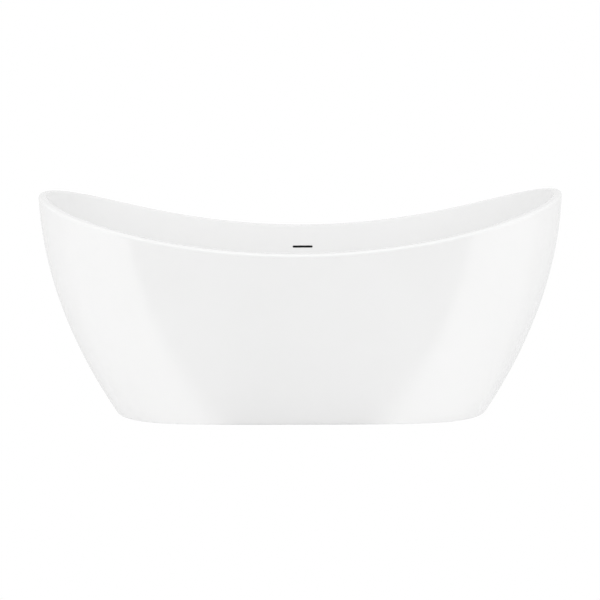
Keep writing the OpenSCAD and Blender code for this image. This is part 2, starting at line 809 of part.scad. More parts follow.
inner_shell();
outer_skirt();
rim_bond();
wall_spacers();
base_board();
rail_front();
rail_rear();
cross_member_left();
cross_member_right();
frame_bolts();
frame_rivet_nuts();
board_screws();
skirt_brackets();
bracket_screws();
foot_load_nuts();
foot_lock_nuts();
foot_sole_1();
foot_sole_2();
foot_sole_3();
foot_sole_4();
foot_cup_1();
foot_cup_2();
foot_cup_3();
foot_cup_4();
foot_stud_1();
foot_stud_2();
foot_stud_3();
foot_stud_4();
drain_flange();
drain_top_seal();
drain_lower_seal();
drain_slip_washer();
drain_nut();
stopper_cap();
stopper_seal();
stopper_stem();
stopper_cartridge();
waste_tee();
tail_seal();
tail_nut();
tailpiece();
tee_side_nut();
tee_side_seal();
overflow_box();
overflow_gasket();
overflow_down_pipe();
overflow_elbow();
overflow_cross_pipe();
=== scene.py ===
"""The looks of the freestanding bathtub: fine shells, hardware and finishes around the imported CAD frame.

Metres, +Z up, +X along the tub, the same frame as the CAD. The shells repeat the CAD's own surface
formulas on a much finer grid. Turned and threaded parts are outlined in millimetres.
"""

import json
import math

import bmesh
import bpy
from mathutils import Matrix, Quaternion, Vector


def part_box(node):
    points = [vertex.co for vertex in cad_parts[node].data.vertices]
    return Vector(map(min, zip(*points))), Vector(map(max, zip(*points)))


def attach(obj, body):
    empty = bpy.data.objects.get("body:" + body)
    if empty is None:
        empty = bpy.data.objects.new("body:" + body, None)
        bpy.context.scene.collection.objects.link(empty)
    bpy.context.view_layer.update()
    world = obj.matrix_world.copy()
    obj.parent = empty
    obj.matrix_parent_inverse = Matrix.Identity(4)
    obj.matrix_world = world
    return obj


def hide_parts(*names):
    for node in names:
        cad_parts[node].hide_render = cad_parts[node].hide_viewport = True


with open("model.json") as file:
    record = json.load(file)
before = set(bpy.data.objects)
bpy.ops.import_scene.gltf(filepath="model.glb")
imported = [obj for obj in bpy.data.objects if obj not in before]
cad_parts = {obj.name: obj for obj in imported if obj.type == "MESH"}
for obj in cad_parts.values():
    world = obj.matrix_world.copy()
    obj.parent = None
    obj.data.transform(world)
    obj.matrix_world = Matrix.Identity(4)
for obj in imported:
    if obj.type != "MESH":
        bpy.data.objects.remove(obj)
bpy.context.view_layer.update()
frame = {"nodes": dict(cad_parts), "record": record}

MM = 0.001


# ---- Sizes that the CAD's surface formulas use ----

shell_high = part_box("inner_shell")[1]
HALF_L = shell_high.x
HALF_W = shell_high.y
END_H = shell_high.z
MID_H = 571 * MM
BASE_HALF_L = 605 * MM
BASE_HALF_W = 260 * MM
RIM_POWER = 6.0
BASE_POWER = 5.4
RIM_BAND = 25 * MM
EDGE_R = 8 * MM
BASIN_T = 6 * MM
SKIRT_T = 5 * MM
FLOOR_Z = 128 * MM
UNDERSIDE_Z = 120 * MM
END_INSET = 110 * MM
SIDE_INSET = 80 * MM
END_APEX = 1.052
SIDE_BULGE = 0.1
BASIN_POWER = 7.0
LIP_H = 14 * MM
SEAM = 0.05 * MM
FLOOR_GAP = 3 * MM
FLANGE_W = 28 * MM
FLANGE_T = 4 * MM
FLANGE_FILLET = 4 * MM
FLANGE_EASE = 0.5 * MM
SKIRT_EDGE_R = 3 * MM
RECESS_R = 38 * MM
RECESS_DEPTH = 3 * MM
SHELL_HOLE_R = 27 * MM
CORNER_EXTRA = 14 * MM
SLOT_L = 68 * MM
SLOT_H = 7 * MM
SLOT_Z = 500 * MM
SLOT_EASE = 1 * MM
SLOT_BURR = 0.4 * MM

# A light and a dark ply of the board together
PLY_PAIR = 4 * MM

# How far the walls lean just below the rim, in degrees: (at the ends, at the middle of the sides)
OUT_LEAN = (2, 12.6)
IN_LEAN = (15.2, 23)

# How finely the shells are drawn: points round the tub, and over each rounded edge of the rim; the degrees of
# the basin's corner curve that get close rows; and round the slot, how far the new faces reach past it, the
# clear distance rings, and new points for each side of a cell
COLUMNS = 480
EDGE_STEPS = 12
FLOOR_TURN = (34, 84)
SLOT_ROOM = 10 * MM
SLOT_AROUND = (5 * MM, 2.5 * MM)
SLOT_FINE = 4

# Outlines of turned parts, in millimetres: (radius, height)
SOLE = [(0, 1), (5, 1), (5.5, 0), (10, 0), (10.5, 1.2), (12.5, 1.2), (13, 0), (17.5, 0), (18, 1.2),
        (20, 1.2), (20.5, 0), (27, 0), (28, 1), (28, 4), (0, 4)]
CUP = [(0, 4), (27, 4), (27, 6), (20, 11), (14, 15), (6.05, 15), (6.05, 6.95), (0, 6.95)]
STUD_ENDS = (7, 106)
COLLAR_ENDS = (30.5, 37.5)
COLLAR_BORE = [(4, z) for z in COLLAR_ENDS]
M12_R = 6
M12_PITCH = 1.75
M8_R = 4
M8_PITCH = 1.25
NUT_BORE_R = 6.05
NUT_MOUTH_R = 6.9
BOLT_HEAD_R = 7.5
BOLT_HEAD_H = 5
BOLT_SOCKET_R = 3
FLANGE = [(21, 92), (23.1, 92), (23.1, 126), (36, 126), (36, 127), (35.2, 128.2), (34, 128.9), (32.5, 129),
          (29, 128.4), (24, 127.2), (22.4, 126), (21.5, 124), (21, 120)]
SPIDER_BOSS = [(5.05, 106), (7.5, 106), (7.5, 112), (5.05, 112)]
CAP_R = 29.5
CAP_SHOULDER = 130.4
CAP_DOME = 3.8
CAP = ([(0, 126.2), (12, 126.2), (12, 129.2), (28.9, 129.2), (CAP_R, 129.8)]
       + [(CAP_R * math.cos(math.radians(a)), CAP_SHOULDER + CAP_DOME * math.sin(math.radians(a)))
          for a in range(0, 90, 4)]
       + [(0, CAP_SHOULDER + CAP_DOME)])
CAP_SEAL = [(12.05, 124.4), (21, 124.4), (22.3, 126.4), (20, 127.5), (19, 129.15), (12.05, 129.15)]
TAIL = [(17.5, 6), (19.05, 6), (19.05, 36), (20.5, 36), (20.5, 40), (23.5, 40), (23.5, 42), (17.5, 42)]
TAIL_NUT_BORE = [(20.55, 36), (20.55, 40), (24.05, 40), (24.05, 50)]
SIDE_NUT_BORE = [(15.05, 32), (15.05, 49), (10.05, 49), (10.05, 53)]
BACK_NUT_BORE = [(24.05, 105), (24.05, 115)]
BRANCH_Z = 66 * MM

# The waste spider's arms: their section as (across, height), and how far along they start and end
ARM_SECTION = [(-2.5, 106), (2.5, 106), (2.5, 112), (-2.5, 112)]
ARM_ENDS = (6.5, 21.5)

# Nuts: (sides, across their corners, lowest, highest), with their end faces turned down to a share of the
# flats. Threads: (radius, pitch, lowest, highest)
BACK_NUT = (8, 78, 105, 115)
TAIL_NUT = (8, 62, 36, 50)
SIDE_NUT = (8, 40, 32, 53)
COLLAR = (6, 20, *COLLAR_ENDS)
NUT_FACE = 0.985
FOOT_NUT_SIDES = 6
FOOT_NUT_ACROSS = 22
FLANGE_THREAD = (24, 1.5, 92, 116)

# How far the edges of the CAD's own pieces are rounded
EDGE_WIDTHS = {"base_board": 0.8 * MM, "rail_front": 1.1 * MM, "rail_rear": 1.1 * MM,
               "cross_member_left": 1.1 * MM, "cross_member_right": 1.1 * MM, "skirt_brackets": 0.5 * MM,
               "bracket_screws": 0.4 * MM, "board_screws": 0.2 * MM, "frame_rivet_nuts": 0.2 * MM,
               "wall_spacers": 0.8 * MM, "drain_top_seal": 0.2 * MM, "drain_lower_seal": 0.4 * MM,
               "drain_slip_washer": 0.2 * MM, "stopper_stem": 0.3 * MM, "stopper_cartridge": 0.2 * MM,
               "waste_tee": 0.5 * MM, "tail_seal": 0.2 * MM, "tee_side_seal": 0.3 * MM,
               "overflow_box": 0.6 * MM, "overflow_gasket": 0.4 * MM, "overflow_down_pipe": 0.2 * MM,
               "overflow_elbow": 0.4 * MM, "overflow_cross_pipe": 0.2 * MM}

# The studio's light on the tub: its level, with more from high in front, less from high behind and more from
# low at the sides
STUDIO_LEVEL = 0.92
STUDIO_FRONT = 1.2
STUDIO_BACK = 0.3
STUDIO_SIDE = 0.3

# The floor: a faint painted glow ahead of the tub, which is stronger in the two fields beside a wedge of
# painted shadow, where the tub's shadow would fall
FLOOR_HALF = 30
FLOOR_SHADE = 0.8
FLOOR_ROUGHNESS = 0.6
FRONT_GLOW = 0.09
FIELD_GLOW = 0.1
FRONT_START = -0.05
FRONT_FULL = 0.15
SHADOW_WEDGE_START = 0.38
SHADOW_WEDGE_SLOPE = 0.72
SHADOW_WEDGE_HALF = 0.33
SHADOW_WEDGE_SOFT = 0.05

# The floor's part under the tub, which lets light through: how far inside the skirt's foot it ends, and how
# square it is
UNDER_MARGIN = 25 * MM
UNDER_POWER = 4

# What polish mirrors instead: the sky's level, how much it darkens overhead, and the floor's painted
# reflection, bright fields beside a darker wedge that is the tub's painted shadow.
# The floor behind the tub mirrors as the sky's level does
MIRRORED_LEVEL = 0.87
MIRRORED_FALL = 0.5
MIRRORED_GLOW = 0.98
MIRRORED_SHADOW_WEDGE = 0.14

# The camera, in metres, with its lens in millimetres and its roll in radians
CAMERA_PLACE = (0.181, -7.998, 1.558)
CAMERA_AIM = (0, 0, 0.370)
CAMERA_LENS = 147.9
CAMERA_SHIFT = (-0.0011, -0.0012)
CAMERA_ROLL = -0.0069
CAMERA_REACH = 200

TURN = 2 * math.pi
COLUMN_ANGLES = [TURN * j / COLUMNS for j in range(COLUMNS)]


def rim_z(t):
    return MID_H + (END_H - MID_H) * math.cos(t) ** 2


def end_curve(s):
    return (1 - (1 - s / END_APEX) ** 2) / (1 - (1 - 1 / END_APEX) ** 2)


def side_curve(s):
    return s * (1 + SIDE_BULGE * (1 - s))


def squareness(s):
    return BASE_POWER + (RIM_POWER - BASE_POWER) * s


def outline(a, b, power, t):
    """A point of the closed outline: straight-sided, with round ends."""
    c = math.cos(t)
    s = math.sin(t)
    return a * c, b * math.copysign(math.sqrt(max(0.0, 1 - abs(c) ** power)), s)


def wall_sizes(s, inset):
    """Half length and half width of the skirt's outer face at height share s."""
    a = BASE_HALF_L + (HALF_L - inset - BASE_HALF_L) * end_curve(s)
    b = BASE_HALF_W + (HALF_W - inset - BASE_HALF_W) * side_curve(s)
    return a, b


class Rim:
    """Where the two rounded edges of the rim end at one angle, so that they meet the walls without a kink."""

    def __init__(self, t):
        self.t = t
        self.z = rim_z(t)
        out_lean = self.lean(*OUT_LEAN)
        in_lean = self.lean(*IN_LEAN)
        self.out_start = -out_lean
        self.in_end = in_lean
        self.out_drop = EDGE_R * (1 + math.sin(out_lean))
        self.out_inset = EDGE_R * (1 - math.cos(out_lean))
        self.in_drop = EDGE_R * (1 - math.sin(in_lean))
        self.in_inset = RIM_BAND - EDGE_R * (1 - math.cos(in_lean))

    def lean(self, end, side):
        share = math.cos(self.t) ** 4
        return math.radians(end * share + side * (1 - share))

    def point(self, inset, drop):
        x, y = outline(HALF_L - inset, HALF_W - inset, RIM_POWER, self.t)
        return x, y, self.z - drop

    def wall(self, z, inset):
        """A point at height z on the skirt's outer face, moved inwards by inset."""
        s = z / (self.z - self.out_drop)
        a, b = wall_sizes(s, self.out_inset)
        x, y = outline(a - inset, b - inset, squareness(s), self.t)
        return x, y, z

    def basin_sizes(self, s):
        """Half length and half width of the basin's face at height share s, where its floor has curved up."""
        a, b = wall_sizes(s, 0.0)
        low = 1 - s * s
        return (a - self.in_inset - (END_INSET - self.in_inset) * low,
                b - self.in_inset - (SIDE_INSET - self.in_inset) * low)

    def basin(self, width, height, out=0.0, drop=0.0):
        """A point of the basin at a share of its width and of its height."""
        top = self.z - self.in_drop
        z = FLOOR_Z + (top - FLOOR_Z) * height
        a, b = self.basin_sizes(z / top)
        x, y = outline(width * a + out, width * b + out, squareness(z / top), self.t)
        return x, y, max(UNDERSIDE_Z, z - drop)


RIMS = [Rim(t) for t in COLUMN_ANGLES]


# ---- Mesh helpers ----

def smooth_mesh(name, points, faces, sharp_angle=None, second=()):
    """A shown mesh object, shaded smooth, sharp past sharp_angle. Faces in second take material 2."""
    mesh = bpy.data.meshes.new(name)
    mesh.from_pydata(points, [], faces)
    for number in second:
        mesh.polygons[number].material_index = 1
    rough = bmesh.new()
    rough.from_mesh(mesh)
    bmesh.ops.recalc_face_normals(rough, faces=rough.faces)
    rough.to_mesh(mesh)
    rough.free()
    mesh.shade_smooth()
    if sharp_angle is not None:
        mesh.set_sharp_from_angle(angle=math.radians(sharp_angle))
    piece = bpy.data.objects.new(name, mesh)
    bpy.context.scene.collection.objects.link(piece)
    return piece


def spread(low, high, count):
    """count values from low to high, both ends included."""
    return [low + (high - low) * k / (count - 1) for k in range(count)]


def ringed(rings, closed=True):
    """(points, faces) of the quads between rings of points; a ring may be one point on the axis."""
    points = [p for ring in rings for p in ring]
    starts = [0]
    for ring in rings:
        starts.append(starts[-1] + len(ring))
    faces = []
    for k in range(len(rings) if closed else len(rings) - 1):
        near, far = rings[k], rings[(k + 1) % len(rings)]
        a, b = starts[k], starts[(k + 1) % len(rings)]
        for j in range(max(len(near), len(far))):
            i = (j + 1) % max(len(near), len(far))
            if len(near) == 1:
                faces.append((a, b + j, b + i))
            elif len(far) == 1:
                faces.append((a + i, a + j, b))
            else:
                faces.append((a + j, b + j, b + i, a + i))
    return points, faces


def joined(*parts):
    """Several (points, faces) as one."""
    points, faces = [], []
    for more_points, more_faces in parts:
        start = len(points)
        points += more_points
        faces += [tuple(start + k for k in face) for face in more_faces]
    return points, faces


def moved(part, place):
    """A (points, faces) with each point (x, y, z) put through place."""
    points, faces = part
    return [place(*p) for p in points], faces


def eased(loop, radius, closed=True):
    """An outline with its corners rounded off, by less than radius where the sides are short."""
    smooth = []
    for k, corner in enumerate(loop):
        if not closed and k in (0, len(loop) - 1):
            smooth.append(corner)
            continue
        point = Vector(corner)
        back = Vector(loop[k - 1]) - point
        on = Vector(loop[(k + 1) % len(loop)]) - point
        if back.angle(on) > math.radians(165):
            smooth.append(corner)
            continue
        reach = min(radius, 0.4 * back.length, 0.4 * on.length)
        start, end = point + back.normalized() * reach, point + on.normalized() * reach
        for s in spread(0, 1, 5):
            smooth.append(tuple(start * (1 - s) ** 2 + point * 2 * s * (1 - s) + end * s * s))
    return smooth


def level_ring(radius, height, centre, segments):
    """A level ring of points, sized in millimetres; a single point where it has no radius."""
    if radius <= 0:
        return [(centre[0], centre[1], height * MM)]
    return [(centre[0] + radius * MM * math.cos(TURN * j / segments),
             centre[1] + radius * MM * math.sin(TURN * j / segments), height * MM) for j in range(segments)]


def turned(loop, centre=(0, 0), closed=True, segments=96):
    """An outline of (radius, height) in millimetres turned about a vertical line at centre."""
    return ringed([level_ring(radius, height, centre, segments) for radius, height in loop], closed)


def faceted(sides, across, low, high, bore, centre=(0, 0), segments=96):
    """A nut: across its corners in millimetres, both ends turned off to a chamfer, and a bore outline."""
    flat = across / 2 * math.cos(math.pi / sides)
    face = flat * NUT_FACE
    drops = spread(0, (across / 2 - face) / math.sqrt(3), 5)
    outline_rows = [(low + d, face + d * math.sqrt(3)) for d in drops]
    outline_rows += [(high - d, face + d * math.sqrt(3)) for d in reversed(drops)]
    rings = []
    for height, limit in outline_rows:
        ring = []
        for j in range(segments):
            angle = TURN * j / segments
            corner = angle % (TURN / sides) - math.pi / sides
            radius = min(flat / math.cos(corner), limit) * MM
            ring.append((centre[0] + radius * math.cos(angle),
                         centre[1] + radius * math.sin(angle), height * MM))
        rings.append(ring)
    rings += [level_ring(radius, height, centre, segments) for radius, height in reversed(bore)]
    return ringed(rings)


def thread_root(radius, pitch):
    """The radius at the foot of a standard thread."""
    return radius - 0.61 * pitch


def thread(radius, pitch, low, high, centre=(0, 0), segments=40):
    """A right-hand screw thread, as a strip wound round a core that fades in and out over one pitch."""
    root = thread_root(radius, pitch)
    crest = ((0.0, 1.0), (0.125, 1.0), (0.4375, 0.0), (0.6875, 0.0))
    steps = int(((high - low) / pitch - 1) * segments)
    points, faces = [], []
    for k in range(steps + 1):
        angle = TURN * k / segments
        for phase, share in crest:
            height = low + pitch * (k / segments + phase)
            fade = max(0.0, min(1.0, (height - low) / pitch, (high - height) / pitch))
            reach = (root + (radius - root) * share * fade) * MM
            points.append((centre[0] + reach * math.cos(angle),
                           centre[1] + reach * math.sin(angle), height * MM))
    count = len(crest)
    for k in range(steps):
        for p in range(count):
            up = (k * count + p + 1, (k + 1) * count + p + 1)
            if p == count - 1:
                up = ((k + segments) * count, (k + segments + 1) * count)
                if k + segments + 1 > steps:
                    continue
            faces.append((k * count + p, (k + 1) * count + p, up[1], up[0]))
    return points, faces


def screw(radius, pitch, low, high, centre=(0, 0), tip=1.0):
    """A threaded rod with chamfered ends."""
    core = thread_root(radius, pitch) - 0.02
    rod = [(0, low), (core - tip, low), (core, low + tip), (core, high - tip), (core - tip, high), (0, high)]
    return joined(turned(rod, centre, False, 48), thread(radius, pitch, low, high, centre))


def beam(along_x, along_y):
    """One arm of the waste's cross, from its boss to the throat's wall, rounded along its top."""
    rings = [[((along * along_x - across * along_y) * MM, (along * along_y + across * along_x) * MM,
               height * MM) for across, height in eased(ARM_SECTION, 0.8)] for along in ARM_ENDS]
    return ringed(rings, False)


# ---- Shells ----

def basin_profile():
    """(share of width, share of height) from the middle of the floor up to the rim's edge."""
    flat = [(w, 1 - (1 - w ** BASIN_POWER) ** (1 / BASIN_POWER)) for w in spread(0.3, 0.84, 10)]
    turn = []
    for angle in spread(*map(math.radians, FLOOR_TURN), 28):
        turn.append((math.sin(angle) ** (2 / BASIN_POWER), 1 - math.cos(angle) ** (2 / BASIN_POWER)))
    first = turn[-1][1]
    wall = [(wall_width(h), h) for h in spread(first, 1, 34)[1:]]
    return flat + turn + wall


def wall_width(height):
    return (1 - (1 - height) ** BASIN_POWER) ** (1 / BASIN_POWER)


PROFILE = basin_profile()


def edge_arc(angle, far):
    """Inset and drop of a point on a rounded edge of the rim: the outer edge, or the inner one at far."""
    inset = EDGE_R * (1 - math.cos(angle))
    return (far - inset if far else inset), EDGE_R * (1 - math.sin(angle))


def recess_profile():
    """(radius, depth) down into the drain's recess, with a rounded top edge and foot."""
    outer = RECESS_R + RECESS_DEPTH
    steps = [(outer + 14 * MM, 0.0), (outer + 5 * MM, 0.0), (outer + 1.5 * MM, 0.05 * MM)]
    for share in spread(0, 1, 9):
        steps.append((outer - RECESS_DEPTH * share, RECESS_DEPTH * share * share * (3 - 2 * share)))
    return steps + [(RECESS_R - 3 * MM, RECESS_DEPTH), (SHELL_HOLE_R, RECESS_DEPTH)]


def inner_shell_rows():
    """The section as rows of points, from the drain hole underneath, over the rim, to the drain's recess.

    Also the rows where the back and the face of the basin start, and the last row of laminate.
    """
    rows = []

    def circle(radius, z):
        rows.append([(radius * math.cos(t), radius * math.sin(t), z) for t in COLUMN_ANGLES])

    def every(function):
        rows.append([function(rim) for rim in RIMS])

    for radius in (SHELL_HOLE_R, RECESS_R + RECESS_DEPTH):
        circle(radius, UNDERSIDE_Z)
    back_start = len(rows)
    for width, height in PROFILE[:-2]:
        every(lambda r, w=width, h=height: r.basin(w, h, BASIN_T, CORNER_EXTRA * (1 - h) ** 6))
    for inset in (RIM_BAND - BASIN_T - 2 * MM, SKIRT_T + 1 * MM):
        every(lambda r, i=inset: r.point(i, LIP_H / 2))
    every(lambda r: r.wall(r.z - LIP_H, SKIRT_T))
    laminate_end = len(rows) - 1
    every(lambda r: r.wall(r.z - LIP_H, 0.0))
    for share in spread(0, 1, EDGE_STEPS):
        every(lambda r, k=share: r.point(*edge_arc(r.out_start + (math.pi / 2 - r.out_start) * k, 0)))
    for inset in spread(EDGE_R, RIM_BAND - EDGE_R, 5)[1:-1]:
        every(lambda r, i=inset: r.point(i, 0.0))
    for share in spread(0, 1, EDGE_STEPS):
        every(lambda r, k=share: r.point(*edge_arc(math.pi / 2 - (math.pi / 2 - r.in_end) * k, RIM_BAND)))
    face_start = len(rows)
    for width, height in PROFILE[-2::-1]:
        every(lambda r, w=width, h=height: r.basin(w, h))
    for radius, depth in recess_profile():
        circle(radius, FLOOR_Z - depth)
    return rows, back_start, face_start, laminate_end


def wall_y(x, z, out):
    """Where the slotted wall is at (x, z): its face at out 0, its back at out BASIN_T."""
    t = math.pi / 2
    for _ in range(8):
        rim = Rim(t)
        top = rim.z - rim.in_drop
        width = wall_width((z - FLOOR_Z) / (top - FLOOR_Z))
        a, b = rim.basin_sizes(z / top)
        t = math.acos(x / (width * a + out))
    return outline(width * a + out, width * b + out, squareness(z / top), t)[1]


def slot_patch(rows, window, face_row, back_row):
    """The slot's opening, in place of the grid's cells inside window: its points, and the faces that join
    them to the grid's."""
    low, high, left, right = window
    edge = [(low, c) for c in range(left, right)] + [(k, right) for k in range(low, high)]
    edge += [(high, c) for c in range(right, left, -1)] + [(k, left) for k in range(high, low, -1)]
    ways = []
    for k, (level, column) in enumerate(edge):
        next_level, next_column = edge[(k + 1) % len(edge)]
        here, there = rows[face_row(level)][column], rows[face_row(next_level)][next_column]
        for share in spread(0, 1, SLOT_FINE + 1)[:-1]:
            x = here[0] + (there[0] - here[0]) * share
            z = here[2] + (there[2] - here[2]) * share - SLOT_Z
            end = SLOT_L / 2 - SLOT_H / 2
            centre = max(-end, min(end, x))
            length = math.hypot(x - centre, z)
            ways.append((centre, (x - centre) / length, z / length))
    turn = spread(0, math.pi / 2, 5)
    rings = [(d, 0.0, False) for d in SLOT_AROUND]
    rings += [(SLOT_EASE * (1 - math.sin(a)), SLOT_EASE * (1 - math.cos(a)), False) for a in turn]
    rings += [(SLOT_BURR * (1 - math.sin(a)), SLOT_BURR * (1 - math.cos(a)), True) for a in reversed(turn)]
    rings += [(d, 0.0, True) for d in reversed(SLOT_AROUND)]
    points = []
    for away, depth, behind in rings:
        for centre, u, v in ways:
            reach = SLOT_H / 2 + away
            x, z = centre + u * reach, SLOT_Z + v * reach
            y = wall_y(x, z, BASIN_T) - depth if behind else wall_y(x, z, 0.0) + depth
            points.append((x, y, z))
    first = len(rows) * COLUMNS
    count = len(ways)
    faces = [(first + i * count + j, first + (i + 1) * count + j,
              first + (i + 1) * count + (j + 1) % count, first + i * count + (j + 1) % count)
             for i in range(len(rings) - 1) for j in range(count)]
    for row_of, ring in ((face_row, 0), (back_row, len(rings) - 1)):
        for k, (level, column) in enumerate(edge):
            next_level, next_column = edge[(k + 1) % len(edge)]
            inner = [first + ring * count + (k * SLOT_FINE + i) % count for i in range(SLOT_FINE, -1, -1)]
            corners = row_of(level) * COLUMNS + column, row_of(next_level) * COLUMNS + next_column
            faces.append((*corners, *inner))
    return points, faces


def inner_shell():
    rows, back_start, face_start, laminate_end = inner_shell_rows()

    def back_row(level):
        return back_start + level

    def face_row(level):
        return face_start + len(PROFILE) - 2 - level

    middle = COLUMNS // 4
    heights = [rows[face_row(k)][middle][2] for k in range(len(PROFILE) - 1)]
    low = max(k for k, z in enumerate(heights) if z < SLOT_Z - SLOT_ROOM)
    high = min(k for k, z in enumerate(heights) if z > SLOT_Z + SLOT_ROOM)
    columns = [j for j in range(COLUMNS // 2) if abs(rows[face_row(low)][j][0]) < SLOT_L / 2 + SLOT_ROOM]
    left, right = min(columns), max(columns)
    open_cells = {(row, column) for level in range(low, high) for column in range(left, right)
                  for row in (back_row(level), face_row(level + 1))}
    count = len(rows)
    cells = [(i, j) for i in range(count) for j in range(COLUMNS) if (i, j) not in open_cells]
    faces = [(i * COLUMNS + j, (i + 1) % count * COLUMNS + j,
              (i + 1) % count * COLUMNS + (j + 1) % COLUMNS, i * COLUMNS + (j + 1) % COLUMNS)
             for i, j in cells]
    laminate = [k for k, (i, _) in enumerate(cells) if i < laminate_end]
    more_points, more_faces = slot_patch(rows, (low, high, left, right), face_row, back_row)
    points = [p for row in rows for p in row] + more_points
    return smooth_mesh("acrylic_basin", points, faces + more_faces, 35, laminate)


def outer_skirt():
    rows = []
    foot = FLOOR_GAP + SKIRT_EDGE_R
    top_drop = LIP_H + SEAM

    def every(function):
        rows.append([function(rim) for rim in RIMS])

    for share in spread(0, 1, 7)[:-1]:
        angle = math.pi / 2 * share
        inset = SKIRT_EDGE_R * (1 - math.sin(angle))
        z = FLOOR_GAP + SKIRT_EDGE_R * (1 - math.cos(angle))
        every(lambda r, i=inset, h=z: r.wall(h, i))
    for share in spread(0, 1, 61):
        every(lambda r, k=share: r.wall(foot + (r.z - top_drop - foot) * k, 0.0))
    face_end = len(rows)
    for share in spread(1, 0.03, 24):
        every(lambda r, k=share: r.wall(foot + (r.z - top_drop - foot) * k, SKIRT_T))
    for share in spread(0, 1, 5):
        angle = math.pi / 2 * share
        inset = SKIRT_T + FLANGE_FILLET * (1 - math.cos(angle))
        z = FLOOR_GAP + FLANGE_T + FLANGE_FILLET * (1 - math.sin(angle))
        every(lambda r, i=inset, h=z: r.wall(h, i))
    for inset, z in ((FLANGE_W - FLANGE_EASE, FLOOR_GAP + FLANGE_T),
                     (FLANGE_W, FLOOR_GAP + FLANGE_T - FLANGE_EASE),
                     (FLANGE_W, FLOOR_GAP + FLANGE_EASE), (FLANGE_W - FLANGE_EASE, FLOOR_GAP)):
        every(lambda r, i=inset, h=z: r.wall(h, i))
    points, faces = ringed(rows)
    laminate = [k for k in range(len(faces)) if face_end <= k // COLUMNS < len(rows) - 1]
    return smooth_mesh("acrylic_skirt", points, faces, 35, laminate)


# ---- Materials ----

def feed(tree, socket, value):
    """Feeds a socket with a node's output or a plain value."""
    if isinstance(value, bpy.types.NodeSocket):
        tree.links.new(value, socket)
    else:
        socket.default_value = value


def calculated(tree, operation, a, b=0.0):
    """A math node's output."""
    made = tree.nodes.new("ShaderNodeMath")
    made.operation = operation
    feed(tree, made.inputs[0], a)
    feed(tree, made.inputs[1], b)
    return made.outputs[0]


class Look:
    """A principled material, with short calls for the nodes that feed it."""

    def __init__(self, name, colour, roughness, metallic=0.0):
        self.material = bpy.data.materials.new(name)
        self.material.use_nodes = True
        self.tree = self.material.node_tree
        self.shader = self.tree.nodes["Principled BSDF"]
        self.shader.inputs["Base Color"].default_value = (*colour, 1)
        self.shader.inputs["Roughness"].default_value = roughness
        self.shader.inputs["Metallic"].default_value = metallic
        self.place = self.node("ShaderNodeTexCoord").outputs["Object"]

    def node(self, kind, **settings):
        made = self.tree.nodes.new(kind)
        for key, value in settings.items():
            setattr(made, key, value)
        return made

    def put(self, socket, value):
        feed(self.tree, socket, value)

    def stretched(self, stretch):
        """The object's coordinates, scaled along each axis."""
        mapping = self.node("ShaderNodeMapping")
        self.put(mapping.inputs["Vector"], self.place)
        mapping.inputs["Scale"].default_value = stretch
        return mapping.outputs["Vector"]

    def noise(self, scale, detail=3.0, stretch=None, distortion=0.0):
        made = self.node("ShaderNodeTexNoise")
        self.put(made.inputs["Vector"], self.stretched(stretch) if stretch else self.place)
        made.inputs["Scale"].default_value = scale
        made.inputs["Detail"].default_value = detail
        made.inputs["Distortion"].default_value = distortion
        return made.outputs["Fac"]

    def cells(self, scale, output="Distance", stretch=None):
        made = self.node("ShaderNodeTexVoronoi")
        self.put(made.inputs["Vector"], self.stretched(stretch) if stretch else self.place)
        made.inputs["Scale"].default_value = scale
        return made.outputs[output]

    def math(self, operation, a, b=0.0):
        return calculated(self.tree, operation, a, b)

    def between(self, value, low, high, start=0.3, end=0.7):
        """value, as it goes from start to end, turned into low to high."""
        made = self.node("ShaderNodeMapRange")
        for socket, number in zip(("Value", "From Min", "From Max", "To Min", "To Max"),
                                  (value, start, end, low, high)):
            self.put(made.inputs[socket], number)
        return made.outputs["Result"]

    def colours(self, value, dark, light, start=0.3, end=0.7):
        """A colour from dark to light as value goes from start to end."""
        ramp = self.node("ShaderNodeValToRGB")
        self.put(ramp.inputs["Fac"], value)
        for stop, position, colour in zip(ramp.color_ramp.elements, (start, end), (dark, light)):
            stop.position = position
            stop.color = (*colour, 1)
        return ramp.outputs["Color"]

    def mixed(self, share, a, b):
        made = self.node("ShaderNodeMix", data_type="RGBA")
        self.put(made.inputs["Factor"], share)
        self.put(made.inputs["A"], a)
        self.put(made.inputs["B"], b)
        return made.outputs["Result"]

    def either(self, share, a, b):
        """A shader that is a where share is 0 and b where it is 1."""
        made = self.node("ShaderNodeMixShader")
        for socket, value in zip(made.inputs, (share, a, b)):
            self.put(socket, value)
        return made.outputs[0]

    def tint(self, colour):
        self.put(self.shader.inputs["Base Color"], colour)

    def sheen(self, roughness):
        self.put(self.shader.inputs["Roughness"], roughness)

    def bumps(self, *layers):
        """Surface relief from (height, depth in metres) layers."""
        last = None
        for height, depth in layers:
            bump = self.node("ShaderNodeBump")
            self.put(bump.inputs["Height"], height)
            bump.inputs["Distance"].default_value = depth
            if last is not None:
                self.put(bump.inputs["Normal"], last)
            last = bump.outputs["Normal"]
        self.put(self.shader.inputs["Normal"], last)


def acrylic():
    """Cast acrylic: a hard clear gloss over white, with the faint waviness of a formed sheet."""
    look = Look("gloss_white_acrylic", (0.84, 0.84, 0.838), 0.12)
    look.tint(look.colours(look.noise(2.5, 2), (0.832, 0.832, 0.83), (0.848, 0.848, 0.847)))
    look.sheen(look.between(look.noise(14, 4), 0.10, 0.145))
    look.shader.inputs["IOR"].default_value = 1.49
    look.shader.inputs["Coat Weight"].default_value = 0.6
    look.shader.inputs["Coat Roughness"].default_value = 0.03
    look.bumps((look.noise(7, 1), 0.00015))
    return look.material


